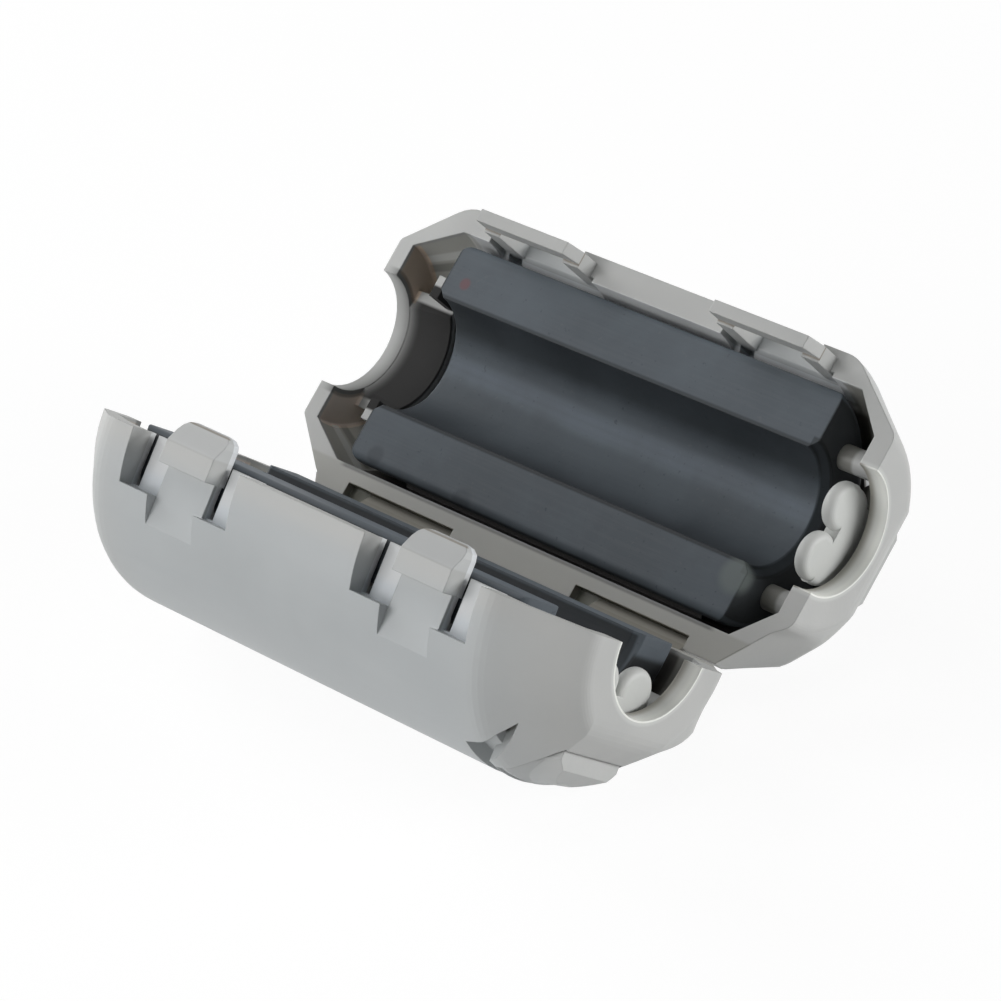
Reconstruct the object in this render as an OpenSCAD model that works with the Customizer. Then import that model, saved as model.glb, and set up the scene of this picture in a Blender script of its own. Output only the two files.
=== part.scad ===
// Clip-on ferrite sleeve for a thin round cable.
// Two moulded half cases hold a half core each and fold shut about two thin
// hinge straps. Loops on one half snap over hooks on the other, and at one end
// each half carries a notched finger on a sprung tongue that grips the cable.
// X runs along the cable. The clip stands open on its two round backs, with
// the hinge axis above the middle of the base.

/* [Ferrite core] */
// Length of each half core along the cable
core_length = 19.2; // [15:0.1:24]
// Outside diameter of the closed pair of half cores
core_diameter = 9.6; // [8.6:0.1:12]
// Diameter of the cable groove through the cores
groove_diameter = 4.8; // [3.4:0.1:5.6]
// Radius on the outer corners at each end of a core
core_end_radius = 0.5; // [0.2:0.05:0.8]
// Radius on the long outer edges of a mating face
core_edge_radius = 0.4; // [0.1:0.05:0.6]
// Chamfer at each end of the groove
groove_chamfer = 0.35; // [0.1:0.05:0.6]
// How far the split between the cores lies above the rims on the hook side
core_shift = 0.16; // [0:0.02:0.16]

/* [Case] */
// Thickness of the round wall
wall = 1.05; // [0.95:0.05:1.5]
// Radial room between the core and the wall
core_room = 0.3; // [0.2:0.05:0.5]
// Room between the end of the core and an end wall
end_room = 2.08; // [1.9:0.02:3]
// Thickness of the end wall at the gripping end
end_wall = 0.82; // [0.6:0.02:1.2]
// Thickness of the plain end wall
plain_wall = 0.7; // [0.6:0.02:1.2]
// Length of the cone at the gripping end of the case
taper_length = 3.05; // [2.6:0.05:3.3]
// Length of the cone at the plain end
plain_taper = 2.35; // [2.1:0.05:3.1]
// Diameter of a flat end face
end_face_diameter = 7.86; // [7.2:0.02:9]
// Rounding round the end face at the gripping end
end_edge = 0.6; // [0.2:0.1:0.8]
// Rounding of the crease where a cone starts
crease_radius = 1.5; // [0.3:0.1:2]
// Extra radius of the cable holes over the groove
hole_room = 0.1; // [0.1:0.05:0.3]
// Gap left between the two rims when the cores meet
rim_gap = 0.1; // [0.02:0.02:0.3]
// Width of the ribs that centre the core
seat_width = 0.7; // [0.4:0.1:1.2]

/* [Hinge] */
// Angle between the two halves as they stand
open_angle = 101.14; // [60:1:150]
// Distance from the hinge axis to each case wall
hinge_offset = 0.15; // [0.1:0.05:0.3]
// Gap left between each flange and the hinge plane
flange_gap = 0.01; // [0.01:0.01:0.1]
// Depth of the hinge flange below the mating plane, where its underside starts
flange_depth = 0.6; // [0.5:0.05:1]
// How far along its cone the flange runs before it slopes in
flange_run = 0.85; // [0.3:0.05:1]
// Distance between the middles of the two hinge recesses
hinge_pitch = 11.9; // [10:0.1:13]
// Length of a hinge recess along the rim
recess_length = 5.6; // [5:0.1:6]
// Part of a recess where its strap is only a thin web
recess_slot = 1; // [0.4:0.1:1.6]
// Depth of a recess below the mating plane
recess_depth = 0.45; // [0.35:0.05:0.6]
// Reach of a recess across the rim, from the hinge axis
recess_reach = 0.55; // [0.45:0.05:0.7]
// Thickness of a strap at its ends
strap_thickness = 0.35; // [0.25:0.05:0.45]
// Thickness of a strap along its middle
strap_web = 0.25; // [0.15:0.05:0.35]

/* [Latch] */
// Distance between the two latches
latch_pitch = 11.9; // [10:0.1:13]
// Shift of both latches towards the gripping end
latch_shift = 0.2; // [-0.4:0.1:0.4]
// Width of a loop along the rim
loop_width = 4.9; // [4.3:0.1:5.4]
// Height of a loop above the mating plane
loop_height = 1.65; // [1.4:0.05:1.9]
// Height of the cross bar of a loop
loop_bar = 0.75; // [0.5:0.05:0.95]
// Width of a leg of a loop
loop_leg = 0.8; // [0.6:0.05:1]
// Thickness of the cross bar of a loop
loop_thickness = 0.5; // [0.46:0.02:0.54]
// Distance from the round wall's widest line in to the face of a loop
loop_setback = 0.3; // [0.24:0.02:0.34]
// Sideways play between a hook and the legs of its loop, on average
hook_play = 0.42; // [0.4:0.02:0.6]
// Shift of a hook towards the plain end, off the middle of its loop
hook_shift = 0.22; // [0:0.02:0.24]
// Play between the bar and the hook that holds it
catch_play = 0.06; // [0.03:0.01:0.12]
// Gap between a closed loop and the stem behind it
stem_play = 0.08; // [0.08:0.01:0.12]
// Height of a hook above the mating plane
hook_height = 0.96; // [0.8:0.02:1.2]
// Depth of the pocket that takes the legs of a loop
leg_pocket = 2.12; // [1.95:0.01:2.4]

/* [Cable grip] */
// Width of the sprung tongue
tongue_width = 3.4; // [2.8:0.1:3.6]
// Thickness of the tongue
tongue_thickness = 0.8; // [0.6:0.05:0.95]
// Distance from the tongue's free end to the end face
tongue_setback = 1.1; // [1:0.05:1.3]
// How far the bump on the tongue stands proud of the cone at its free end
tongue_proud = 0.7; // [0.5:0.01:0.9]
// Radius of the bump across the tongue
bump_radius = 2.2; // [2:0.05:3]
// Gap along the sides and free end of the tongue
tongue_gap = 0.1; // [0.06:0.01:0.2]
// Length of a finger along the cable
finger_length = 0.6; // [0.5:0.05:1]
// Gap between a finger's edge and the cable hole
finger_room = 0.4; // [0.2:0.05:0.7]
// Height of the finger in the loop half, above the mating plane
loop_finger_top = -0.25; // [-0.4:0.05:0.3]
// Depth of the finger in the hook half, below the mating plane
hook_finger_drop = 0.85; // [0.5:0.05:1.2]
// Depth of the notch between the lobes of a finger
finger_notch = 1.45; // [0.8:0.05:1.6]

/* [Hidden] */
$fn = 96;
tiny = 0.01;

// core and case radii, all about the cable axis of one half
core_r = core_diameter / 2;
groove_r = groove_diameter / 2;
pocket_r = core_r + core_room;
case_r = pocket_r + wall;
hole_r = groove_r + hole_room;
end_r = end_face_diameter / 2;
core_x = core_length / 2;
inner_x = core_x + end_room;
end_x = inner_x + end_wall;
crease_x = end_x - taper_length;
plain_x = end_x - plain_wall;
pocket_taper = end_room - 0.63;
pocket_end_r = pocket_r - pocket_taper;

// one half lies with its mating plane on z = 0, its hinge axis along X and
// its cable axis at y = axis_y
axis_y = hinge_offset + case_r;
tilt = (180 - open_angle) / 2;
hinge_z = case_r - axis_y * sin(tilt);

// hinge
recess_x = [-hinge_pitch / 2, hinge_pitch / 2];
strap_length = recess_length - recess_slot;
strap_top = 0.03;
strap_end = (recess_reach - strap_top * sin(tilt)) / cos(tilt);

// latch, measured across the rim from the hinge axis
latch_x = [latch_shift - latch_pitch / 2, latch_shift + latch_pitch / 2];
loop_out = axis_y + case_r - loop_setback;
loop_in = loop_out - loop_thickness;
leg_in = loop_in - 0.14;
stem_out = loop_in - stem_play;
stem_in = axis_y + core_r + 0.06;
leg_floor = (stem_in + stem_out) / 2 - 0.02;
loop_gap = loop_width - 2 * loop_leg;
hook_width = loop_gap - 2 * hook_play;
head_x = [-hook_shift - hook_width / 2, -hook_shift + hook_width / 2];
stem_x = [head_x[0] - 0.05, head_x[1] - 0.1];
catch_depth = loop_height - loop_bar - catch_play;
hook_pocket = hook_height + 0.1;

// cable grip
tongue_x = end_x - tongue_setback;
tongue_root = tongue_x - 2.5;
tongue_end_r = cone_r(tongue_x) + tongue_proud;
bump_slope = 14;
finger_x = tongue_x - finger_length;
finger_r = hole_r - finger_room;
lobe_r = finger_r * 0.45;

function cone_r(x) = x < crease_x ? case_r
  : case_r - (x - crease_x) * (case_r - end_r) / taper_length;

// points of an arc about [r, x], from angle a to angle b
function arc(r, x, radius, a, b, steps) = [for (i = [0 : steps])
  let (t = a + (b - a) * i / steps) [r + radius * cos(t), x + radius * sin(t)]];

// outline of one end of the case, with a cone of the given length: crease,
// cone, end face edge
function case_end(length, edge) =
  let (slope = atan((case_r - end_r) / length)) concat(
    arc(case_r - crease_radius, end_x - length - crease_radius * tan(slope / 2),
      crease_radius, 0, slope, 4),
    arc(end_r - edge * tan((90 - slope) / 2), end_x - edge, edge, slope, 90, 5));

function flip(points) = [for (i = [len(points) - 1 : -1 : 0])
  [points[i][0], -points[i][1]]];

case_outline = concat([[0, -end_x]], flip(case_end(plain_taper, 0.25)),
  case_end(taper_length, end_edge), [[0, end_x]]);

pocket_outline = [[0, -plain_x], [end_r - 0.05, -plain_x],
  [pocket_r, plain_taper + 0.3 - end_x], [pocket_r, inner_x - pocket_taper],
  [pocket_end_r, inner_x], [0, inner_x]];

core_outline = concat(
  [[groove_r, -core_x + groove_chamfer], [groove_r + groove_chamfer, -core_x]],
  flip(arc(core_r - core_end_radius, core_x - core_end_radius,
    core_end_radius, 0, 90, 5)),
  arc(core_r - core_end_radius, core_x - core_end_radius,
    core_end_radius, 0, 90, 5),
  [[groove_r + groove_chamfer, core_x], [groove_r, core_x - groove_chamfer]]);

// turns a profile [radius, x] about the cable axis of a half
module about_axis() {
  translate([0, axis_y, 0])
    rotate([0, 90, 0])
      children();
}

// a box given by its low corner [x, y, depth] and its high corner, with depth
// measured down from the mating plane
module block(low, high) {
  translate([low[0], low[1], -high[2]])
    cube([high[0] - low[0], high[1] - low[1], high[2] - low[2]]);
}

// a bar along x with the section points [y, depth]
module bar(x0, x1, points) {
  translate([x0, 0, 0])
    rotate([90, 0, 90])
      linear_extrude(height = x1 - x0)
        polygon([for (p = points) [p[0], -p[1]]]);
}

// a plate across y with the outline points [x, depth]
module plate(y0, y1, points) {
  translate([0, y1, 0])
    rotate([90, 0, 0])
      linear_extrude(height = y1 - y0)
        polygon([for (p = points) [p[0], -p[1]]]);
}

// everything more than depth below the mating plane
module below(depth) {
  block([-2 * end_x, -case_r, depth], [2 * end_x, 4 * case_r, 3 * case_r]);
}

// the two halves as they stand, one each side of the hinge
module loop_side() {
  translate([0, 0, hinge_z])
    rotate([tilt, 0, 0])
      children();
}

module hook_side() {
  mirror([0, 1, 0])
    loop_side()
      children();
}

// ---- case, both halves ----

module shell() {
  difference() {
    union() {
      intersection() {
        about_axis()
          rotate_extrude()
            polygon(case_outline);
        below(rim_gap / 2);
      }
      hinge_flange();
    }
    about_axis()
      rotate_extrude()
        polygon(pocket_outline);
    about_axis()
      cylinder(r = hole_r, h = 3 * end_x, center = true);
    end_facet();
    tongue_window();
    root_groove();
    hinge_recesses();
  }
}

// ledge along the rim on the hinge side, which leaves no gap beside the
// straps, with a sloping underside
module hinge_flange() {
  inside = axis_y - end_r - 0.1;
  intersection() {
    translate([0, 0, -case_r])
      linear_extrude(height = case_r)
        polygon([[plain_taper - end_x - 0.1, flange_gap],
          [crease_x + flange_run, flange_gap], [end_x - 0.35, inside],
          [end_x - 0.35, inside + 0.35], [crease_x, 1], [plain_taper - end_x, 1],
          [plain_taper - end_x - 0.3, 0.4]]);
    bar(-end_x, end_x, [[-1, rim_gap / 2], [-1, flange_depth], [flange_gap, flange_depth],
      [1.2, flange_depth + 1.8], [axis_y, flange_depth + 1.8], [axis_y, rim_gap / 2]]);
  }
}

// flat cut under the end face, above the slit at the tongue's free end, with
// a round turn into the face
module end_facet() {
  chord = end_r - 0.63;
  fall = 44;
  turn = 1.2;
  plate(axis_y - end_r, axis_y + end_r, concat([[end_x + 1, chord - turn * tan(fall / 2)]],
    [for (a = [0 : fall / 4 : fall]) [end_x - turn + turn * cos(a),
      chord + turn * (sin(a) - tan(fall / 2))]],
    [[tongue_x - 1, chord + (end_x - tongue_x + 1) / tan(fall)],
     [tongue_x - 1, 2 * case_r], [end_x + 1, 2 * case_r]]));
}

module tongue_window() {
  half = tongue_width / 2 + tongue_gap;
  block([tongue_root + 0.1, axis_y - half, pocket_end_r * 0.8],
    [tongue_x + tongue_gap, axis_y + half, 2 * case_r]);
}

// plan of one side arm of the opening behind the tongue
function arm(side) = [for (p = [[tongue_root - 0.7, 2.9], [tongue_root + 0.88, 3.57],
  [tongue_root + 1.62, 3.6], [tongue_root + 1.15, 3.04], [tongue_root, 2.15]])
  [p[0], axis_y + side * p[1]]];

function arm_hole(side) = [for (p = [[tongue_root + 0.3, 3.32], [tongue_root + 0.88, 3.57],
  [tongue_root + 1.62, 3.6], [tongue_root + 1.15, 3.04], [tongue_root + 0.55, 2.6]])
  [p[0], axis_y + side * p[1]]];

// groove that thins the root of the tongue and opens out at both sides
module root_groove() {
  a = arm(1);
  b = arm(-1);
  difference() {
    translate([0, 0, -2 * case_r])
      linear_extrude(height = 2 * case_r)
        polygon(concat(a, [b[4], b[3], b[2], b[1], b[0]]));
    about_axis()
      cylinder(r = case_r - 0.55, h = 3 * end_x, center = true);
  }
  for (side = [-1, 1])
    translate([0, 0, -2 * case_r])
      linear_extrude(height = 2 * case_r - pocket_end_r * 0.8)
        polygon(arm_hole(side));
}

// sprung strip of the cone's own form, with a round bump on its free end
module tongue() {
  intersection() {
    union() {
      about_axis()
        rotate_extrude()
          polygon([[case_r - 1, tongue_root - 0.3], [case_r - 0.55, tongue_root - 0.3],
            [case_r - 0.55, tongue_root], [case_r - 0.08, tongue_root],
            [case_r - 0.08, crease_x - 0.1], [cone_r(tongue_x), tongue_x],
            [cone_r(tongue_x) - tongue_thickness, tongue_x],
            [case_r - 0.05 - tongue_thickness, tongue_root]]);
      difference() {
        translate([tongue_x, axis_y, bump_radius - tongue_end_r])
          rotate([0, 90 - bump_slope, 0])
            cylinder(r = bump_radius, h = 2 * (tongue_x - tongue_root), center = true);
        about_axis()
          rotate_extrude()
            polygon([[0, tongue_root - 2], [case_r - 0.05 - tongue_thickness, tongue_root - 2],
              [case_r - 0.05 - tongue_thickness, tongue_root],
              [cone_r(tongue_x) - tongue_thickness, tongue_x],
              [cone_r(tongue_x) - tongue_thickness, tongue_x + 2], [0, tongue_x + 2]]);
      }
    }
    plate(axis_y - tongue_width / 2, axis_y + tongue_width / 2,
      [[tongue_root - 1, pocket_end_r], [tongue_root - 1, 2 * case_r],
       [tongue_x - 0.65, 2 * case_r], [tongue_x - 0.65, tongue_end_r + 0.17],
       [tongue_x, tongue_end_r - 0.4], [tongue_x, pocket_end_r]]);
  }
}

// a disc across the cable with rounded rims, radius r, at height depth
module soft_disc(y, depth, r) {
  soft = finger_length * 0.45;
  translate([0, axis_y + y, -depth])
    rotate([0, 90, 0])
      rotate_extrude()
        polygon(concat([[0, finger_x]],
          flip_about(arc(r - soft, tongue_x - soft, soft, 0, 90, 5)),
          arc(r - soft, tongue_x - soft, soft, 0, 90, 5),
          [[0, tongue_x]]));
}

function flip_about(points) = [for (i = [len(points) - 1 : -1 : 0])
  [points[i][0], finger_x + tongue_x - points[i][1]]];

// notched finger standing on the free end of the tongue, its lobes reaching
// up to the given depth below the mating plane
module finger(top) {
  for (side = [-1, 1])
    soft_disc(side * (finger_r - lobe_r - 0.12), top + lobe_r, lobe_r);
  intersection() {
    soft_disc(0, top + finger_notch - finger_r * 0.4, finger_r);
    below(top + finger_notch * 0.8);
  }
  for (side = [-1, 1])
    soft_disc(side * (finger_r - lobe_r - 0.12), top + lobe_r + 0.5, lobe_r);
  stem = tongue_width / 2 - 0.2;
  block([finger_x + 0.15, axis_y - stem, top + finger_notch + 0.3],
    [tongue_x, axis_y + stem, cone_r(tongue_x) - 0.3]);
}

// ribs on the pocket wall that hold the core, which lies up by the given shift
module core_seats(shift) {
  difference() {
    about_axis()
      for (a = [-65, -32, 32, 65])
        rotate([0, 0, a])
          translate([core_r - 0.3, -seat_width / 2, -core_x + 2])
            cube([core_room + 0.4, seat_width, core_length - 4]);
    translate([0, 0, shift])
      about_axis()
        cylinder(r = core_r, h = core_length, center = true);
  }
}

// what keeps the core from sliding: deep posts at the plain end and two round
// pegs at the gripping end
module end_stops() {
  intersection() {
    about_axis()
      cylinder(r = pocket_r + 0.1, h = 3 * end_x, center = true);
    for (side = [-1, 1])
      translate([0, axis_y + side * (hole_r + 0.25), 0])
        block([-core_x - 0.45, -0.45, 0.3], [-core_x, 0.45, case_r]);
  }
  for (side = [-1, 1])
    translate([core_x, axis_y + side * (hole_r + 0.45), -2.1])
      rotate([0, 90, 0])
        cylinder(r = 0.5, h = end_room + tiny);
}

// half tube that leads the cable from the plain end wall to the core
module trough() {
  difference() {
    about_axis()
      rotate_extrude()
        polygon([[hole_r, -plain_x - 0.2], [hole_r + 0.15, -core_x - 0.1],
          [hole_r + 0.7, -core_x - 0.1], [hole_r + 0.6, -plain_x - 0.2]]);
    block([-2 * end_x, -case_r, -4 * case_r], [0, 4 * case_r, 1.7]);
  }
}

module hinge_recesses() {
  for (x = recess_x)
    block([x - recess_length / 2, -1, -1],
      [x + recess_length / 2, recess_reach, recess_depth]);
  rotate([-tilt, 0, 0])
    for (x = recess_x)
      strap(x);
}

// a strap at rest, about the hinge axis
module strap(x) {
  thin = strap_thickness - strap_web;
  low = strap_top - strap_thickness;
  translate([x - recess_length / 2 + recess_slot, 0, 0])
    rotate([90, 0, 90])
      linear_extrude(height = strap_length)
        polygon([[-strap_end, strap_top], [-strap_end, low], [-0.3, low],
          [-0.12, low + thin], [0.12, low + thin], [0.3, low],
          [strap_end, low], [strap_end, strap_top]]);
  // thin web across the rest of the recess
  translate([x - recess_length / 2, -0.25, low])
    cube([recess_slot + tiny, 0.5, 0.1]);
}

// ---- loop half ----

module loop(x) {
  half = loop_width / 2;
  root = hook_pocket + 0.4;
  translate([x, loop_out, 0])
    rotate([90, 0, 0]) {
      linear_extrude(height = loop_thickness)
        difference() {
          polygon([[-half, -root], [-half, loop_height],
            [half - 0.38, loop_height], [half, loop_height - 0.7],
            [half, -root]]);
          translate([-loop_gap / 2, -2 * root])
            square([loop_gap, 2 * root + loop_height - loop_bar]);
        }
      for (low = [-half, loop_gap / 2])
        translate([low, -root, 0])
          cube([loop_leg, root + loop_height - loop_bar, loop_out - leg_in]);
    }
}

// room in the rim for the hook, behind and between the legs
module hook_room(x) {
  half = loop_width / 2;
  block([x - loop_gap / 2, stem_in - 0.3, -1],
    [x + loop_gap / 2, axis_y + 2 * case_r, hook_pocket]);
  bar(x - half - 0.3, x + half + 0.2, [[stem_in - 0.6, -1], [loop_in - 0.05, -1],
    [loop_in - 0.05, hook_pocket], [stem_in - 0.6, hook_pocket + 0.7]]);
  block([x - half, stem_in - 0.6, -1],
    [x - loop_gap / 2 - 0.1, loop_in - 0.05, hook_pocket + 0.8]);
}

module loop_half() {
  difference() {
    union() {
      shell();
      core_seats(-core_shift);
    }
    for (x = latch_x)
      hook_room(x);
  }
  for (x = latch_x)
    loop(x);
  end_stops();
  trough();
  tongue();
  finger(-loop_finger_top);
}

// ---- hook half ----

// recess that takes the legs and bar of a loop, along x from the latch's middle
recess_span = [-loop_width / 2 - 0.55, loop_width / 2 + 0.15];

module loop_room(x) {
  far = axis_y + 2 * case_r;
  block([x + recess_span[0], leg_floor, -1], [x + recess_span[1], far, leg_pocket]);
  block([x + stem_x[0], stem_out, -1], [x + stem_x[1], far, case_r]);
  for (low = [recess_span[0], stem_x[1]])
    block([x + low, stem_in - 0.6, -1], [x + low + 0.32, far, leg_pocket - 0.07]);
}

// thin wall that closes the recess from the core
module loop_room_floor(x) {
  block([x + recess_span[0] - 0.2, stem_in, rim_gap / 2],
    [x + recess_span[1] + 0.2, leg_floor + 0.2, leg_pocket + 0.2]);
}

module hook(x) {
  lip = loop_out + 0.1;
  width = head_x[1] - head_x[0];
  soft = 0.45;
  bar(x + stem_x[0], x + stem_x[1], [[stem_in, leg_pocket + 0.3],
    [stem_out, leg_pocket + 0.3], [stem_out, catch_depth - tiny], [stem_in, catch_depth - tiny]]);
  intersection() {
    bar(x + head_x[0], x + head_x[1], concat(
      [[stem_in, catch_depth], [lip, catch_depth], [lip, 0], [lip - 0.06, -0.12]],
      [for (t = [20 : 20 : 80]) [stem_out - 0.1 + 0.3 * cos(t),
        0.3 - hook_height - 0.3 * sin(t)]],
      [[stem_in + 0.2, -hook_height], [stem_in + 0.06, 0.06 - hook_height],
       [stem_in, 0.2 - hook_height]]));
    plate(stem_in - 1, lip + 1, concat(
      [[x + head_x[0], catch_depth + 1]],
      [for (t = [0 : 30 : 90]) [x + head_x[0] + soft - soft * cos(t),
        soft - hook_height - soft * sin(t)]],
      [for (t = [90 : -30 : 0]) [x + head_x[1] - soft + soft * cos(t),
        soft - hook_height - soft * sin(t)]],
      [[x + head_x[1], catch_depth + 1]]));
  }
}

module hook_half() {
  difference() {
    union() {
      shell();
      core_seats(core_shift);
      for (x = latch_x)
        loop_room_floor(x);
    }
    for (x = latch_x)
      loop_room(x);
  }
  for (x = latch_x)
    hook(x);
  end_stops();
  trough();
  tongue();
  finger(hook_finger_drop);
}

// ---- core, both halves ----

module half_core(shift) {
  edge = core_edge_radius;
  corner = sqrt(pow(core_r - edge, 2) - pow(edge, 2));
  translate([0, 0, shift])
    difference() {
      intersection() {
        about_axis()
          rotate_extrude()
            polygon(core_outline);
        below(tiny);
      }
      for (side = [-1, 1])
        translate([-core_length, axis_y, 0])
          rotate([90, 0, 90])
            linear_extrude(height = 2 * core_length)
              difference() {
                translate([side > 0 ? corner : -corner - 1, -edge - tiny])
                  square([1, 2]);
                translate([side * corner, -edge - tiny])
                  circle(r = edge);
              }
    }
}

// ---- the pieces ----

module loop_half_case() {
  color([0.76, 0.76, 0.74])
    loop_side()
      loop_half();
}

module hook_half_case() {
  color([0.76, 0.76, 0.74])
    hook_side()
      hook_half();
}

module loop_half_core() {
  color([0.2, 0.22, 0.25])
    loop_side()
      half_core(-core_shift);
}

module hook_half_core() {
  color([0.2, 0.22, 0.25])
    hook_side()
      half_core(core_shift);
}

module hinge_strap_left() {
  color([0.76, 0.76, 0.74])
    translate([0, 0, hinge_z])
      strap(recess_x[0]);
}

module hinge_strap_right() {
  color([0.76, 0.76, 0.74])
    translate([0, 0, hinge_z])
      strap(recess_x[1]);
}

loop_half_case();
hook_half_case();
loop_half_core();
hook_half_core();
hinge_strap_left();
hinge_strap_right();
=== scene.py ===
"""Looks for the open clip-on ferrite sleeve: moulded case, sintered cores, hinge straps.

Lengths are in millimetres until a mesh is made, and MM turns them into metres.
"""
import math

import bmesh
import bpy
import numpy as np
from mathutils import Matrix, Vector


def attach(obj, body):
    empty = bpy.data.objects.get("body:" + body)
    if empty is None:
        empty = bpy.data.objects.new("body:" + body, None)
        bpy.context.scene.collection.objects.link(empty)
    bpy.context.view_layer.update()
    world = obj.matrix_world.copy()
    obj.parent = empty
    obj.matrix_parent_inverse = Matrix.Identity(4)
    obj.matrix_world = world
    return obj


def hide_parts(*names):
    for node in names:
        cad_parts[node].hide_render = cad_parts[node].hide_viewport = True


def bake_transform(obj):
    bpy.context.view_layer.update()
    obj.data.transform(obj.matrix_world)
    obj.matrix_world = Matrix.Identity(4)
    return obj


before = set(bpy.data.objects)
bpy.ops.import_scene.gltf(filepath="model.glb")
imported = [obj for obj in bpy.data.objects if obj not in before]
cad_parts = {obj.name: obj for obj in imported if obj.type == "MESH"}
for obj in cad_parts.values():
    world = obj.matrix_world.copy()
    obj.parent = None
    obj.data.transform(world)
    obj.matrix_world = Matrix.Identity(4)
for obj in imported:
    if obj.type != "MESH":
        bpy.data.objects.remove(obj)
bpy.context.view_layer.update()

MM = 0.001

# sizes of the clip, as the frame has them
OPEN_ANGLE = 101.14
TILT = math.radians((180 - OPEN_ANGLE) / 2)
CASE_R = 6.15
AXIS_Y = 6.3
HINGE_Z = CASE_R - AXIS_Y * math.sin(TILT)
CORE_SHIFT = 0.16
STRAP_X = (-5.95, 5.95)
STRAP_LENGTH = 4.6
SLOT_LENGTH = 1.0
END_X = 12.5
END_FACE_R = 3.93
GRIP_CREASE_X = 9.45
# where the pocket starts to taper towards each end, and how fast at the plain end
GRIP_TAPER_X = 10.23
PLAIN_TAPER_X = 9.85
PLAIN_TAPER = 0.626


def half_point(side, x, s, n):
    """Point of one half, from x along the cable, s from the hinge and n below the mating plane.

    y = side * (s cos tilt + n sin tilt), z = hinge height + s sin tilt - n cos tilt.
    """
    y = s * math.cos(TILT) + n * math.sin(TILT)
    z = HINGE_Z + s * math.sin(TILT) - n * math.cos(TILT)
    return Vector((x, side * y, z)) * MM


# ---------------------------------------------------------------- meshes

def skin(name, grid, closed_v=False, caps=False):
    """Mesh of a numpy grid of points, shape (nu, nv, 3), with quads between neighbours.

    With caps, the first and last rows are closed by one face each.
    """
    nu, nv = grid.shape[:2]
    index = np.arange(nu * nv).reshape(nu, nv)
    full = np.concatenate([index, index[:, :1]], axis=1) if closed_v else index
    quads = np.stack([full[:-1, :-1], full[1:, :-1], full[1:, 1:], full[:-1, 1:]], axis=-1)
    faces = quads.reshape(-1, 4).tolist()
    if caps:
        faces += [index[0].tolist(), index[-1][::-1].tolist()]
    mesh = bpy.data.meshes.new(name)
    mesh.from_pydata((grid.reshape(-1, 3) * MM).tolist(), [], faces)
    mesh.validate()
    piece = bpy.data.objects.new(name, mesh)
    bpy.context.scene.collection.objects.link(piece)
    return piece


def outward(piece):
    """Turns every face of a closed piece outwards."""
    bm = bmesh.new()
    bm.from_mesh(piece.data)
    bmesh.ops.remove_doubles(bm, verts=bm.verts, dist=1e-7)
    bmesh.ops.recalc_face_normals(bm, faces=bm.faces)
    bm.to_mesh(piece.data)
    bm.free()
    return piece


def smooth(piece, angle):
    """Smooth shading with sharp edges kept where faces meet at more than the angle."""
    mesh = piece.data
    mesh.polygons.foreach_set("use_smooth", [True] * len(mesh.polygons))
    mesh.set_sharp_from_angle(angle=math.radians(angle))
    return piece


def smooth_step(value):
    """Value held between 0 and 1 and eased at both ends, 3 v^2 - 2 v^3."""
    value = np.clip(value, 0, 1)
    return value * value * (3 - 2 * value)


# ---------------------------------------------------------------- node wiring

class Wires:
    """Short hand for building one material's nodes."""

    def __init__(self, tree):
        self.tree = tree

    def add(self, kind, inputs=None, **settings):
        node = self.tree.nodes.new(kind)
        for key, value in settings.items():
            setattr(node, key, value)
        for key, value in (inputs or {}).items():
            self.feed(node.inputs[key], value)
        return node

    def feed(self, socket, value):
        if isinstance(value, bpy.types.NodeSocket):
            self.tree.links.new(value, socket)
        else:
            socket.default_value = value

    def math(self, operation, *values):
        node = self.add("ShaderNodeMath", operation=operation)
        for i, value in enumerate(values):
            self.feed(node.inputs[i], value)
        return node.outputs[0]

    def ramp(self, value, low, high, out_low=0.0, out_high=1.0):
        """Smooth step of a value from low to high."""
        node = self.add("ShaderNodeMapRange", interpolation_type="SMOOTHSTEP")
        for i, v in enumerate((value, low, high, out_low, out_high)):
            self.feed(node.inputs[i], v)
        return node.outputs[0]

    def mix(self, factor, a, b, blend="MIX"):
        node = self.add("ShaderNodeMix", data_type="RGBA", blend_type=blend)
        self.feed(node.inputs[0], factor)
        self.feed(node.inputs[6], a)
        self.feed(node.inputs[7], b)
        return node.outputs[2]

    def noise(self, vector, scale, detail=2.0, roughness=0.5):
        node = self.add("ShaderNodeTexNoise", {"Vector": vector, "Scale": scale,
                                               "Detail": detail, "Roughness": roughness})
        return node.outputs[0]

    def mapped(self, vector, scale):
        return self.add("ShaderNodeMapping", {"Vector": vector, "Scale": scale}).outputs[0]

    def band(self, value, low, high, soft):
        """1 between low and high, falling to 0 over the soft width outside them."""
        return self.math("MULTIPLY", self.ramp(value, low - soft, low),
                         self.ramp(value, high + soft, high))

    def both(self, *values):
        """Product of several masks."""
        result = values[0]
        for value in values[1:]:
            result = self.math("MULTIPLY", result, value)
        return result

    def tint(self, colour, mask, factors):
        """Colour times the factors where the mask is 1."""
        return self.mix(mask, colour, (*factors, 1), "MULTIPLY")

    def near(self, vector, point, radius):
        """1 in the inner half of a ball about a point in metres, falling to 0 at its radius."""
        node = self.add("ShaderNodeVectorMath", {0: vector, 1: tuple(point)}, operation="DISTANCE")
        return self.ramp(node.outputs["Value"], radius * MM, radius / 2 * MM)


def new_material(name):
    """Material with one shader, its wiring, and the Object coordinates."""
    material = bpy.data.materials.new(name)
    material.use_nodes = True
    tree = material.node_tree
    tree.nodes.clear()
    wires = Wires(tree)
    shader = wires.add("ShaderNodeBsdfPrincipled")
    wires.add("ShaderNodeOutputMaterial", {"Surface": shader.outputs[0]})
    where = wires.add("ShaderNodeTexCoord").outputs["Object"]
    return material, wires, shader, where


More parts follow.
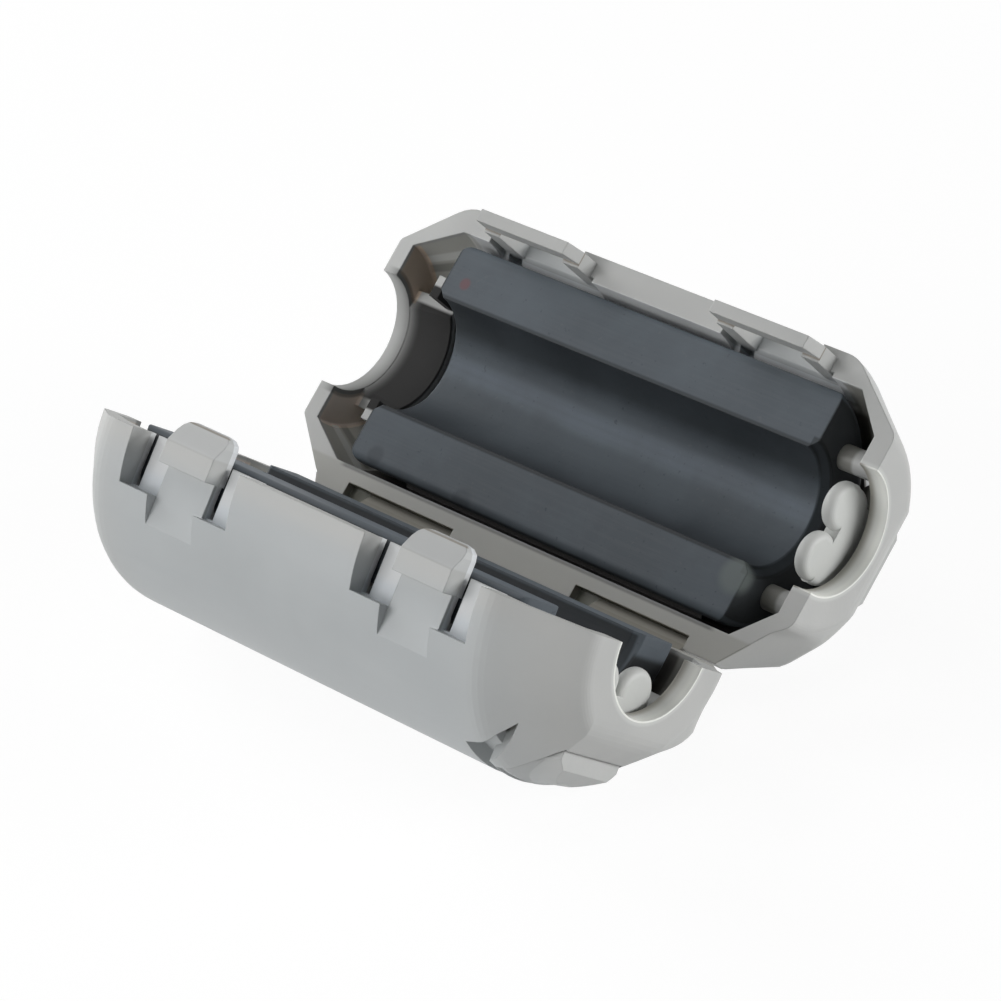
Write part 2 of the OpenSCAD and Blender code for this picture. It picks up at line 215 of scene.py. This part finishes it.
def half_frame(wires, where):
    """Millimetres along the cable x, across from the hinge s, below the mating plane n.

    Both halves share one formula, since they mirror each other in y. Also gives the
    distance r from the cable axis, s counted from that axis, and 1 on the loop half.
    """
    part = wires.add("ShaderNodeSeparateXYZ", {0: where}).outputs
    y = wires.math("ABSOLUTE", part[1])
    z = wires.math("SUBTRACT", part[2], HINGE_Z * MM)
    sin, cos = math.sin(TILT) / MM, math.cos(TILT) / MM
    x = wires.math("MULTIPLY", part[0], 1 / MM)
    s = wires.math("ADD", wires.math("MULTIPLY", y, cos), wires.math("MULTIPLY", z, sin))
    n = wires.math("SUBTRACT", wires.math("MULTIPLY", y, sin), wires.math("MULTIPLY", z, cos))
    off = wires.math("SUBTRACT", s, AXIS_Y)
    r = wires.math("SQRT", wires.math("ADD", wires.math("MULTIPLY", off, off),
                                      wires.math("MULTIPLY", n, n)))
    return x, s, n, r, off, wires.math("GREATER_THAN", part[1], 0.0)


# ---------------------------------------------------------------- moulded case

def moulded_case():
    """Light grey nylon: fine spark-eroded grain, faint flow marks, and painted shade and painted
    light on the insides, recesses and hinge side.
    """
    material, w, shader, where = new_material("moulded_case")
    x, s, n, r, off, back = half_frame(w, where)
    cloud = w.noise(where, 170, 3.0)
    flow = w.noise(w.mapped(where, (120, 900, 900)), 1.0, 3.0)
    colour = w.mix(w.ramp(cloud, 0.3, 0.7), (0.485, 0.492, 0.482, 1), (0.535, 0.54, 0.528, 1))
    colour = w.mix(w.ramp(flow, 0.35, 0.75, 0.0, 0.25), colour, (0.47, 0.478, 0.475, 1))
    along = w.math("ABSOLUTE", x)
    # radius from the cable axis, with the slope of the pocket's tapered ends taken out
    past_plain = w.math("MAXIMUM", w.math("SUBTRACT", -PLAIN_TAPER_X, x), 0.0)
    past_grip = w.math("MAXIMUM", w.math("SUBTRACT", x, GRIP_TAPER_X), 0.0)
    level = w.math("ADD", r, w.math("ADD", w.math("MULTIPLY", past_plain, PLAIN_TAPER), past_grip))
    inside = w.both(w.ramp(level, 5.3, 5.15), w.ramp(n, 0.1, 0.3))
    # the outer skin of the barrel is a little cooler than the rest
    skin_side = w.both(w.ramp(r, 4.0, 5.4), w.ramp(n, 0.2, 1.4), w.ramp(along, 12.5, 7.5),
                       w.math("SUBTRACT", 1.0, inside))
    colour = w.tint(colour, skin_side, (0.93, 0.965, 1.0))
    # painted shade on the wall beside the core and in the pocket behind the finger
    latch_side = w.both(w.ramp(off, 4.6, 4.75), w.ramp(n, 2.6, 2.4))
    shade_beside_core = w.both(inside, w.ramp(r, 4.55, 4.7), w.ramp(along, 9.75, 9.55),
                    w.math("SUBTRACT", 1.0, latch_side))
    colour = w.tint(colour, shade_beside_core, (0.2, 0.19, 0.18))
    # painted light on the latch-side recess floors beside the hooks
    lit_latch_floor = w.both(w.band(off, 4.86, 5.12, 0.02), w.ramp(n, 2.3, 2.15),
                         w.ramp(along, 9.6, 9.4))
    colour = w.tint(colour, lit_latch_floor, (1.35, 1.36, 1.4))
    # painted shadow under the loop bars
    shadow_under_bar = w.both(w.ramp(off, 5.25, 5.32), w.band(n, -0.92, -0.87, 0.02))
    colour = w.tint(colour, shadow_under_bar, (0.62, 0.56, 0.5))
    # painted shade in the pocket behind the finger
    behind = w.both(inside, w.band(x, 9.3, 10.2, 0.2), w.ramp(x, 10.9, 10.2))
    colour = w.tint(colour, behind, (0.5, 0.49, 0.46))
    # painted warm shade on the inner face of the plain end wall, lighter and cooler towards the
    # hinge side, and painted light in the pocket beside it
    end_wall_shading = w.both(inside, w.band(x, -11.86, -11.65, 0.06), w.ramp(r, 2.62, 2.7))
    colour = w.tint(colour, end_wall_shading, (1.35, 1.1, 0.92))
    colour = w.tint(colour, w.both(end_wall_shading, w.ramp(off, -0.5, -1.5)), (1.25, 1.33, 1.45))
    pocket_shading = w.both(inside, w.band(x, -11.6, -9.9, 0.2), w.ramp(r, 3.3, 3.5))
    colour = w.tint(colour, pocket_shading, (1.2, 1.18, 1.12))
    turn = w.math("ABSOLUTE", w.math("MULTIPLY", w.math("ARCTAN2", off, n), 180 / math.pi))
    # a painted highlight stripe and a painted shade stripe across the pocket
    colour = w.tint(colour, w.both(pocket_shading, w.band(turn, 71.5, 75, 2)), (1.35, 1.37, 1.42))
    colour = w.tint(colour, w.both(pocket_shading, w.band(turn, 64, 67.5, 2)), (0.62, 0.62, 0.62))
    # painted light on the end hole and the finger at the gripping end
    lit_hole_and_finger = w.both(w.ramp(r, 2.75, 2.6), w.ramp(x, 10.7, 10.85))
    colour = w.tint(colour, lit_hole_and_finger, (1.2, 1.21, 1.2))
    hole_light_and_shade = w.both(w.band(r, 2.45, 2.55, 0.03), w.ramp(x, 11.62, 11.7))
    colour = w.tint(colour, hole_light_and_shade, (1.25, 1.24, 1.22))
    # painted shade inside the hole, deepest towards the finger, and a painted highlight at its
    # outer edge
    colour = w.tint(colour, w.both(hole_light_and_shade, w.ramp(x, 12.1, 11.72)), (0.4, 0.38, 0.35))
    colour = w.tint(colour, w.both(hole_light_and_shade, w.ramp(x, 12.05, 12.35)), (1.2, 1.2, 1.19))
    # painted light on the loop half's mating rim towards the plain end
    corner = w.both(w.ramp(x, -9.5, -11.5), w.ramp(off, 0.5, 3.0), w.ramp(n, 0.1, 0.07), back)
    colour = w.tint(colour, corner, (1.16, 1.16, 1.16))
    # painted shade along the rim's inner edge on the hinge side, beside the core
    rim_gap_shade = w.both(w.ramp(r, 5.3, 5.2), w.ramp(off, -4.0, -4.6), w.ramp(along, 9.7, 9.3))
    colour = w.tint(colour, rim_gap_shade, (0.42, 0.42, 0.43))
    # painted light on the hook heads standing above the mating plane
    lit_hook_heads = w.both(w.ramp(n, 0.0, -0.1), w.math("SUBTRACT", 1.0, back))
    colour = w.tint(colour, lit_hook_heads, (1.14, 1.15, 1.17))
    # painted shade: the trough and the end hole at the plain end are made near-black, and rougher
    trough_shade = w.both(w.ramp(r, 2.85, 2.72), w.ramp(x, -12.5, -11.2), w.ramp(x, -8.0, -9.0))
    colour = w.mix(w.math("MULTIPLY", trough_shade, 0.98), colour, (0.01, 0.0095, 0.0095, 1))
    # painted shade on the hinge side and in its strap recesses
    colour = w.tint(colour, w.both(w.ramp(s, 1.25, 1.1), w.ramp(n, 0.14, 0.1)), (0.8, 0.79, 0.76))
    for middle in STRAP_X:
        strap_recess_shade = w.both(w.band(x, middle - 2.78, middle + 2.78, 0.04), w.ramp(s, 0.6, 0.56),
                      w.ramp(n, 0.6, 0.5), w.ramp(s, -0.7, -0.5))
        colour = w.tint(colour, strap_recess_shade, (0.7, 0.67, 0.61))
        # painted shadow on the back wall of each recess
        recess_wall_shadow = w.both(strap_recess_shade, w.ramp(s, 0.48, 0.54), w.ramp(n, 0.06, 0.1))
        colour = w.tint(colour, recess_wall_shadow, (0.42, 0.4, 0.36))
        # painted shade in the slot at the recess's end
        strap_slot_shade = w.both(strap_recess_shade, w.ramp(x, middle - 1.75, middle - 1.85))
        colour = w.tint(colour, strap_slot_shade, (0.45, 0.47, 0.42))
    w.feed(shader.inputs["Base Color"], colour)
    grain = w.noise(where, 5200, 3.0, 0.6)
    rough = w.ramp(cloud, 0.3, 0.7, 0.42, 0.55)
    w.feed(shader.inputs["Roughness"], w.math("ADD", rough, w.math("MULTIPLY", trough_shade, 0.45)))
    shader.inputs["IOR"].default_value = 1.5
    edge = w.add("ShaderNodeBevel", {"Radius": 0.06 * MM}, samples=6).outputs[0]
    relief = w.math("ADD", grain, w.math("MULTIPLY", flow, 0.8))
    bump = w.add("ShaderNodeBump", {"Strength": 0.35, "Distance": 0.012 * MM,
                                    "Height": relief, "Normal": edge})
    w.feed(shader.inputs["Normal"], bump.outputs[0])
    return material


# ---------------------------------------------------------------- sintered cores

def sintered_ferrite():
    """Dark slate grey ceramic: ground mating faces, pressed outsides, pits and stains, a painted
    highlight along the groove and painted shade on its sides, the ends and the sides inside the
    case.
    """
    material, w, shader, where = new_material("sintered_ferrite")
    x, _, n, r, off, back = half_frame(w, where)
    ground = w.ramp(w.math("ABSOLUTE", w.math("SUBTRACT", w.math("ABSOLUTE", n), CORE_SHIFT)),
                    0.06, 0.02)
    cloud = w.noise(where, 260, 4.0, 0.55)
    colour = w.mix(w.ramp(cloud, 0.3, 0.72), (0.086, 0.101, 0.116, 1), (0.121, 0.142, 0.162, 1))
    # grinding runs along the mating faces
    scratch = w.noise(w.mapped(where, (300, 9000, 9000)), 1.0, 2.0)
    colour = w.mix(w.math("MULTIPLY", ground, w.ramp(scratch, 0.4, 0.7, 0.0, 0.16)), colour,
                   (0.14, 0.155, 0.175, 1))
    speck = w.noise(where, 4200, 2.0, 0.6)
    colour = w.mix(w.ramp(speck, 0.66, 0.76, 0.0, 0.35), colour, (0.03, 0.034, 0.04, 1))
    colour = w.mix(w.ramp(speck, 0.36, 0.27, 0.0, 0.2), colour, (0.16, 0.17, 0.18, 1))
    # painted highlight as a band along the groove, and painted shade on its sides
    groove = w.both(w.ramp(r, 2.6, 2.5), w.ramp(n, -0.1, 0.0))
    turn = w.math("MULTIPLY", w.math("ARCTAN2", off, n), 180 / math.pi)
    cloudy = w.math("ADD", turn, w.math("MULTIPLY", w.math("SUBTRACT", cloud, 0.5), 10))
    groove_highlight = w.both(groove, w.band(cloudy, 7, 15, 12))
    colour = w.tint(colour, groove_highlight, (1.95, 1.95, 2.02))
    colour = w.tint(colour, w.both(groove, w.ramp(turn, 2, -10)), (0.74, 0.74, 0.74))
    colour = w.tint(colour, w.both(groove, w.ramp(turn, 22, 50)), (0.4, 0.4, 0.4))
    colour = w.tint(colour, w.both(groove, w.ramp(turn, -38, -75)), (0.36, 0.36, 0.36))
    # painted shade on the end faces and on the sides inside the case, darker than the ground
    # faces; lighter along the loop half's latch-side edge
    end = w.both(w.ramp(w.math("ABSOLUTE", x), 9.5, 9.57), w.ramp(n, -0.02, 0.1))
    colour = w.tint(colour, w.math("MULTIPLY", end, back), (0.42, 0.4, 0.38))
    front_core_end_shade = w.both(end, w.math("SUBTRACT", 1.0, back), w.ramp(n, 0.5, 0.8))
    colour = w.tint(colour, front_core_end_shade, (0.2, 0.19, 0.18))
    below = w.math("SUBTRACT", n, w.math("MULTIPLY", w.math("SUBTRACT", back, 0.5),
                                         2 * CORE_SHIFT))
    core_side_shade = w.both(w.ramp(w.math("ABSOLUTE", off), 4.64, 4.76), w.ramp(below, 0.1, 0.24))
    shown = w.both(w.ramp(off, 0.0, 1.0), back)
    colour = w.tint(colour, w.both(core_side_shade, w.math("SUBTRACT", 1.0, shown)), (0.38, 0.37, 0.36))
    colour = w.tint(colour, w.both(w.ramp(off, 4.4, 4.6), back), (1.2, 1.2, 1.2))
    # painted shade at the end of the groove on the loop half
    groove_mouth_shade = w.both(w.ramp(x, 9.26, 9.32), w.ramp(r, 2.9, 2.8), back)
    colour = w.tint(colour, groove_mouth_shade, (0.4, 0.4, 0.4))
    # a rust spot, two smudges and a pale scuff on the loop half's mating faces
    for point, size, stain, strength in (
            ((-8.62, 9.52), 0.32, (0.24, 0.06, 0.06, 1), 0.42),
            ((-8.38, 1.96), 0.5, (0.035, 0.04, 0.045, 1), 0.4),
            ((-3.65, 1.7), 0.6, (0.035, 0.04, 0.045, 1), 0.35),
            ((9.2, 3.3), 0.9, (0.2, 0.23, 0.22, 1), 0.6)):
        spot = w.near(where, half_point(1, point[0], point[1], CORE_SHIFT), size)
        colour = w.mix(w.math("MULTIPLY", spot, strength), colour, stain)
    w.feed(shader.inputs["Base Color"], colour)
    w.feed(shader.inputs["Roughness"], w.ramp(cloud, 0.3, 0.7, 0.5, 0.64))
    shader.inputs["IOR"].default_value = 1.5
    shader.inputs["Specular IOR Level"].default_value = 0.22
    edge = w.add("ShaderNodeBevel", {"Radius": 0.08 * MM}, samples=6).outputs[0]
    relief = w.math("ADD", speck, w.math("MULTIPLY", w.math("MULTIPLY", scratch, ground), 0.6))
    bump = w.add("ShaderNodeBump", {"Strength": 0.5, "Distance": 0.012 * MM,
                                    "Height": relief, "Normal": edge})
    w.feed(shader.inputs["Normal"], bump.outputs[0])
    return material


# ---------------------------------------------------------------- hinge straps

def hinge_strap(name, middle):
    """Thin flat strap between the two halves, thinned along the middle where it folds.

    Section in y and z: half width 0.68, top 0.02 above the hinge axis, underside
    0.34 below it at the ends and 0.24 over the fold, with a smooth step between.
    The section runs along x for 4.6; over the first 1.0 of the recess only a web
    of half width 0.25 goes on, 0.1 thick, level with the underside.
    """
    half, top, thick, fold_thick = 0.68, 0.02, 0.34, 0.24
    web_half, web_thick, web_rows, strap_rows = 0.25, 0.1, 11, 47
    y = np.linspace(-half, half, 41)
    fold = smooth_step(1 - (np.abs(y) - 0.1) / 0.22)
    under = top - thick + (thick - fold_thick) * fold
    full = np.concatenate([np.stack([y, np.full_like(y, top)], 1),
                           np.stack([y[::-1], under[::-1]], 1)])
    thin_y = y * web_half / half
    low = np.full_like(y, top - thick)
    thin = np.concatenate([np.stack([thin_y, low + web_thick], 1),
                           np.stack([thin_y[::-1], low], 1)])
    start = -(SLOT_LENGTH + STRAP_LENGTH) / 2
    x = np.concatenate([np.linspace(start, start + SLOT_LENGTH, web_rows),
                        np.linspace(start + SLOT_LENGTH, -start, strap_rows)])
    on_strap = (np.arange(len(x)) >= web_rows)[:, None, None]
    section = np.where(on_strap, full[None], thin[None])
    grid = np.concatenate([np.broadcast_to((middle + x)[:, None, None],
                                           (len(x), len(y) * 2, 1)), section], axis=2)
    grid[:, :, 2] += HINGE_Z
    return smooth(outward(skin(name, grid, closed_v=True, caps=True)), 40)


# ---------------------------------------------------------------- hinge fairings

def averaged(values, reach, axis):
    """Running mean over reach cells each way, weighted by a raised cosine."""
    weights = np.hanning(2 * reach + 3)[1:-1]
    pad = [(reach, reach) if i == axis else (0, 0) for i in (0, 1)]
    padded = np.pad(values, pad, "edge")
    return np.apply_along_axis(lambda v: np.convolve(v, weights / weights.sum(), "valid"),
                               axis, padded)


def cone_radius(x):
    """Radius of the case at the gripping end: the cone, then the round edge of its end face."""
    edge, edge_centre_r, edge_starts = 0.6, 3.62, 12.2
    fall = (CASE_R - END_FACE_R) / (END_X - GRIP_CREASE_X)
    cone = CASE_R - np.clip(x - GRIP_CREASE_X, 0, None) * fall
    arc = np.sqrt(np.clip(edge ** 2 - (x - END_X + edge) ** 2, 0, None))
    return np.where(x > edge_starts, edge_centre_r + arc, cone)


def end_cut_depth(x):
    """Depth of the flat cut under the end face, which turns into the face on a radius."""
    depth, fall, turn_r = 3.3, math.radians(44), 1.2
    turn_x = END_X - turn_r
    turn = np.arccos(np.clip((x - turn_x) / turn_r, math.cos(fall), 1))
    flat = np.clip(turn_x + turn_r * math.cos(fall) - x, 0, None) / math.tan(fall)
    return depth + flat + turn_r * (np.sin(turn) - math.tan(fall / 2))


def hinge_fairing(name, side):
    """Smooth swelling where the flange along the hinge runs out onto the cone.

    Rows run along x from 8.9 to 12.46 and columns turn about the cable axis from the
    rim on the hinge side, alpha from 0 to 64 degrees. The radius is the larger of
    the cone's and the flange's, where the flange is bounded by its edge in plan and
    its sloping underside; past the flange's corner it eases back to the cone over 17
    degrees, and over 29 near the end face. It is averaged both ways, kept off the
    hinge plane and under the end's flat cut, and its borders and inner side lie under
    the case's own surface.
    """
    first_x, last_x, last_alpha = 8.9, 12.46, 64
    flange_gap, flange_top, flange_depth, underside = 0.01, 0.6, 2.4, 1.513
    slope_in_x, slope_in = 10.3, 2.26 / 1.85
    hinge_room, rim_depth, shell, cover, sunk = 0.005, 0.06, 0.4, 0.03, 0.05
    x = np.linspace(first_x, last_x, 120)[:, None]
    alpha = np.radians(np.linspace(0, last_alpha, 97))[None, :]
    sin, cos = np.maximum(np.sin(alpha), 0.01), np.cos(alpha)
    cone = cone_radius(x)
    edge = flange_gap + np.clip(x - slope_in_x, 0, None) * slope_in
    depth = np.minimum(flange_top + underside * (edge - flange_gap), flange_depth)
    corner_r = np.hypot(AXIS_Y - edge, depth)
    corner = np.arctan2(depth, AXIS_Y - edge)
    sloping = flange_top + underside * (AXIS_Y - flange_gap)
    flange = np.minimum((AXIS_Y - edge) / cos, sloping / (np.sin(alpha) + underside * cos))
    flange = np.minimum(flange, flange_depth / sin)
    width = np.radians(17 + 12 * smooth_step((x - 10.5) / 0.8))
    ease = smooth_step(1 - (alpha - corner) / width)
    slope = np.where(alpha > corner, cone + (corner_r - cone) * ease, 0)
    radius = np.maximum(np.maximum(cone, flange), slope)
    round_end = np.sqrt(1 - np.clip((x - 12.12) / 0.34, 0, 1) ** 2)
    proud = (radius - cone) * round_end
    eased = averaged(averaged(proud, 7, 0), 8, 1)
    proud = np.maximum(proud, eased) * 0.6 + eased * 0.4 + cover
    fade = np.clip((x - first_x) / 0.5, 0, 1) * np.clip((last_x - x) / 0.06, 0, 1)
    fade = fade * np.clip((corner + width + math.radians(3) - alpha) / math.radians(4), 0, 1)
    radius = cone - sunk + (proud + 0.02) * fade
    radius = np.minimum(radius, (AXIS_Y - hinge_room) / cos)
    radius = np.minimum(radius, (end_cut_depth(x) - sunk) / sin)
    deep = cone - shell + 0 * alpha
    outer, inner = (np.stack([AXIS_Y - reach * cos,
                              np.maximum(reach * np.sin(alpha), rim_depth)], axis=2)
                    for reach in (radius, deep))
    ring = np.concatenate([outer, inner[:, ::-1]], axis=1)
    s, n = ring[:, :, 0], ring[:, :, 1]
    grid = np.stack([x + 0 * s, side * (s * math.cos(TILT) + n * math.sin(TILT)),
                     HINGE_Z + s * math.sin(TILT) - n * math.cos(TILT)], axis=2)
    return smooth(outward(skin(name, grid, closed_v=True, caps=True)), 50)


# ---------------------------------------------------------------- dressing

case_plastic = moulded_case()
core_ceramic = sintered_ferrite()

for node, material in (("loop_half_case", case_plastic), ("hook_half_case", case_plastic),
                       ("loop_half_core", core_ceramic), ("hook_half_core", core_ceramic)):
    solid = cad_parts[node]
    solid.data.materials.clear()
    solid.data.materials.append(material)

for node, x in zip(("hinge_strap_left", "hinge_strap_right"), STRAP_X):
    strap = hinge_strap(node.replace("hinge", "bending"), x)
    strap.data.materials.append(case_plastic)
    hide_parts(node)
    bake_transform(strap)

for body, side in (("loop_half", 1), ("hook_half", -1)):
    fairing = hinge_fairing(body + "_hinge_fairing", side)
    fairing.data.materials.append(case_plastic)
    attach(fairing, body)

# ---------------------------------------------------------------- floor, light, camera

def seen_share(w):
    """1 for rays that show what lies behind the clip, straight on, in gloss or through it."""
    path = w.add("ShaderNodeLightPath").outputs
    return w.math("MAXIMUM", path["Is Camera Ray"],
                  w.math("MAXIMUM", path["Is Glossy Ray"], path["Is Transmission Ray"]))


def floor_material():
    """Pale floor that shows white, with the clip's soft shadow left on it."""
    material, w, shader, _ = new_material("pale_floor")
    shader.inputs["Base Color"].default_value = (0.85, 0.85, 0.85, 1)
    shader.inputs["Roughness"].default_value = 0.9
    shader.inputs["Specular IOR Level"].default_value = 0.1
    glow = w.add("ShaderNodeEmission", {"Color": (1, 1, 1, 1), "Strength": 1.08})
    blend = w.add("ShaderNodeMixShader", {0: w.math("MULTIPLY", seen_share(w), 0.85),
                                          1: shader.outputs[0], 2: glow.outputs[0]})
    out = [node for node in w.tree.nodes if node.type == "OUTPUT_MATERIAL"][0]
    w.feed(out.inputs["Surface"], blend.outputs[0])
    return material


def white_world(level):
    """Plain light all round, seen as white behind the clip."""
    world = bpy.data.worlds.new("studio")
    bpy.context.scene.world = world
    world.use_nodes = True
    w = Wires(world.node_tree)
    world.node_tree.nodes.clear()
    light = w.add("ShaderNodeBackground", {"Color": (1, 1, 1, 1), "Strength": level})
    white = w.add("ShaderNodeBackground", {"Color": (1, 1, 1, 1), "Strength": 1.0})
    blend = w.add("ShaderNodeMixShader", {0: seen_share(w), 1: light.outputs[0],
                                          2: white.outputs[0]})
    w.add("ShaderNodeOutputWorld", {"Surface": blend.outputs[0]})


def soft_lamp(name, azimuth, elevation, power):
    """Square lamp facing the clip, its size and distance in metres.

    Azimuth 0 is the -Y side and 90 the +X side, in degrees.
    """
    size, distance, aim = 0.2, 0.36, Vector((0, 0, 0.005))
    a, e = math.radians(azimuth), math.radians(elevation)
    way = Vector((math.sin(a) * math.cos(e), -math.cos(a) * math.cos(e), math.sin(e)))
    lamp = bpy.data.lights.new(name, "AREA")
    lamp.energy = power
    lamp.size = size
    holder = bpy.data.objects.new(name, lamp)
    bpy.context.scene.collection.objects.link(holder)
    holder.location = aim + way * distance
    holder.rotation_euler = way.to_track_quat("Z", "Y").to_euler()
    holder.visible_camera = False


def set_camera():
    """Camera on its bearing: azimuth, elevation and roll in degrees, distance in mm."""
    bearing, distance, focal_length = (46.096, 32.155, -5.105), 167.14, 162.166
    target = Vector((-0.097, 0.123, 5.0966))
    a, e, roll = (math.radians(angle) for angle in bearing)
    back = Vector((math.sin(a) * math.cos(e), -math.cos(a) * math.cos(e), math.sin(e)))
    right = (-back).cross(Vector((0, 0, 1))).normalized()
    up = right.cross(-back)
    across = right * math.cos(roll) + up * math.sin(roll)
    upward = -right * math.sin(roll) + up * math.cos(roll)
    lens = bpy.data.cameras.new("camera")
    lens.lens = focal_length
    lens.sensor_width = 36
    lens.clip_start = 0.005
    lens.clip_end = 20
    camera = bpy.data.objects.new("camera", lens)
    bpy.context.scene.collection.objects.link(camera)
    place = Matrix((across, upward, back)).transposed().to_4x4()
    place.translation = (target + back * distance) * MM
    camera.matrix_world = place
    bpy.context.scene.camera = camera


FLOOR_HALF = 900.0
corners = [[[-FLOOR_HALF, FLOOR_HALF, 0.0], [FLOOR_HALF, FLOOR_HALF, 0.0]],
           [[-FLOOR_HALF, -FLOOR_HALF, 0.0], [FLOOR_HALF, -FLOOR_HALF, 0.0]]]
ground = skin("floor", np.array(corners))
ground.data.materials.append(floor_material())
white_world(0.0)
soft_lamp("right_box", 120, 6, 1.30)
soft_lamp("front_box", 0, 6, 0.36)
soft_lamp("left_box", 330, 28, 0.48)
soft_lamp("back_box", 270, 28, 0.48)
soft_lamp("top_box", 0, 85, 0.14)
set_camera()

bpy.context.scene.view_settings.view_transform = "Standard"
